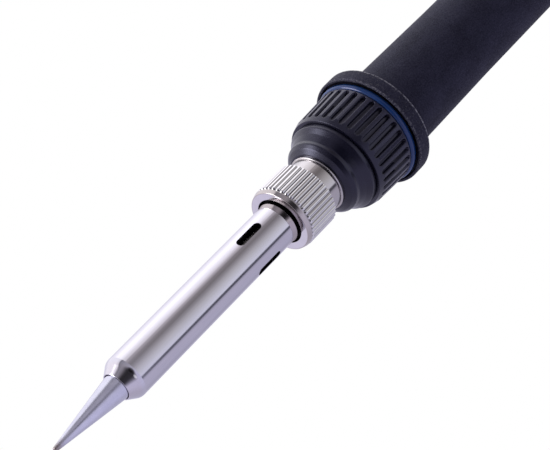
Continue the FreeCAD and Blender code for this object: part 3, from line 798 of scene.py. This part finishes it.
# STUDIO gives way to STUDIO_AHEAD between these two, by how far the light's direction points forwards.
TO_AHEAD = (-0.46, -0.36)
# Further forwards the card takes a tint, which comes in between these two.
TO_WARM = (-0.1, 0.3)
CARD_WARMTH = (1.0, 0.97, 0.95)
# Dark patches: (outer size in degrees, inner size in degrees, share of the light left).
CAMERA_PATCH = (46, 13, 0.06)
SHELF_PATCH = (23, 9, 0.2)
SHELF_TOWARDS = (0.12, 0.38, 0.92)
# Lamps: (direction, size in degrees, power).
LAMPS = [
    ((0.30, 0.78, 0.55), 12, 0.6),
    ((0.64, -0.73, 0.23), 19, 7.0),
]


def multiplied(tree, colour, factors):
    """A colour with its channels scaled one by one."""
    inputs = {0: colour, 1: factors}
    return add_node(tree, "ShaderNodeVectorMath", inputs, operation="MULTIPLY").outputs["Vector"]


def scaled(tree, colour, factor):
    """A colour made brighter or darker."""
    inputs = {0: colour, "Scale": factor}
    return add_node(tree, "ShaderNodeVectorMath", inputs, operation="SCALE").outputs["Vector"]


def cone_of(tree, towards, centre, outer, inner, outside, inside):
    """One value beyond outer degrees from a direction, another within inner degrees, and smooth between."""
    middle = Vector(centre).normalized()
    cosine = add_node(tree, "ShaderNodeVectorMath", {0: towards, 1: middle}, operation="DOT_PRODUCT")
    low, high = math.cos(math.radians(outer)), math.cos(math.radians(inner))
    return between(tree, cosine.outputs["Value"], low, high, outside, inside)


def darkened(tree, card, towards, centre, patch):
    """The card with a dark patch round one direction."""
    outer, inner, left = patch
    return scaled(tree, card, cone_of(tree, towards, centre, outer, inner, 1.0, left))


def card_ramp(tree, turn, card, brightest):
    """Colour of the card round the axis, as a share of its brightest part."""
    stops = []
    for degrees, colour in card:
        stops.append((degrees / 360 + 0.5, tuple(channel / brightest for channel in colour)))
    return ramp(tree, turn, stops)


def make_light():
    """A soft studio: a white box on one side of the iron, and grey card above and on the other side."""
    world = bpy.data.worlds.new("studio")
    bpy.context.scene.world = world
    world.use_nodes = True
    tree = world.node_tree
    tree.nodes.clear()
    towards = add_node(tree, "ShaderNodeTexCoord").outputs["Generated"]
    parts = add_node(tree, "ShaderNodeSeparateXYZ", {"Vector": towards})
    clock = maths(tree, "ARCTAN2", parts.outputs["Y"], parts.outputs["Z"])
    turn = maths(tree, "MULTIPLY_ADD", clock, 0.5 / math.pi, 0.5)
    brightest = max(max(colour) for _, colour in STUDIO)
    ahead = between(tree, parts.outputs["X"], *TO_AHEAD)
    card = mixed(tree, ahead, card_ramp(tree, turn, STUDIO, brightest),
                 card_ramp(tree, turn, STUDIO_AHEAD, brightest))
    warmth = between(tree, parts.outputs["X"], *TO_WARM)
    card = mixed(tree, warmth, card, multiplied(tree, card, CARD_WARMTH))
    back = camera_axes()[2]
    card = darkened(tree, card, towards, back, CAMERA_PATCH)
    card = darkened(tree, card, towards, SHELF_TOWARDS, SHELF_PATCH)
    for lamp, size, power in LAMPS:
        glow = cone_of(tree, towards, lamp, size, size / 2, 0.0, power / brightest)
        card = add_node(tree, "ShaderNodeVectorMath", {0: card, 1: glow}, operation="ADD").outputs["Vector"]
    studio = add_node(tree, "ShaderNodeBackground", {"Color": card, "Strength": brightest}).outputs[0]
    white = add_node(tree, "ShaderNodeBackground", {"Color": (1, 1, 1, 1), "Strength": 1.0}).outputs[0]
    seen = add_node(tree, "ShaderNodeLightPath").outputs["Is Camera Ray"]
    mix = add_node(tree, "ShaderNodeMixShader", {0: seen, 1: studio, 2: white}).outputs[0]
    add_node(tree, "ShaderNodeOutputWorld", {"Surface": mix})
    bpy.context.scene.view_settings.view_transform = "Standard"


def dress_nodes(materials):
    """Gives every CAD node the material of its slot."""
    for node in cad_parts.values():
        for slot in node.material_slots:
            slot.material = materials[slot.material.name.split(".")[0]]


materials = make_materials()
dress_nodes(materials)
make_nut(materials["nickel_plate"])
make_nipple(materials["nipple_plastic"])
make_ring(materials["blue_plastic"])
make_grip(materials["grip_rubber"])
make_camera()
make_light()
make_floor()
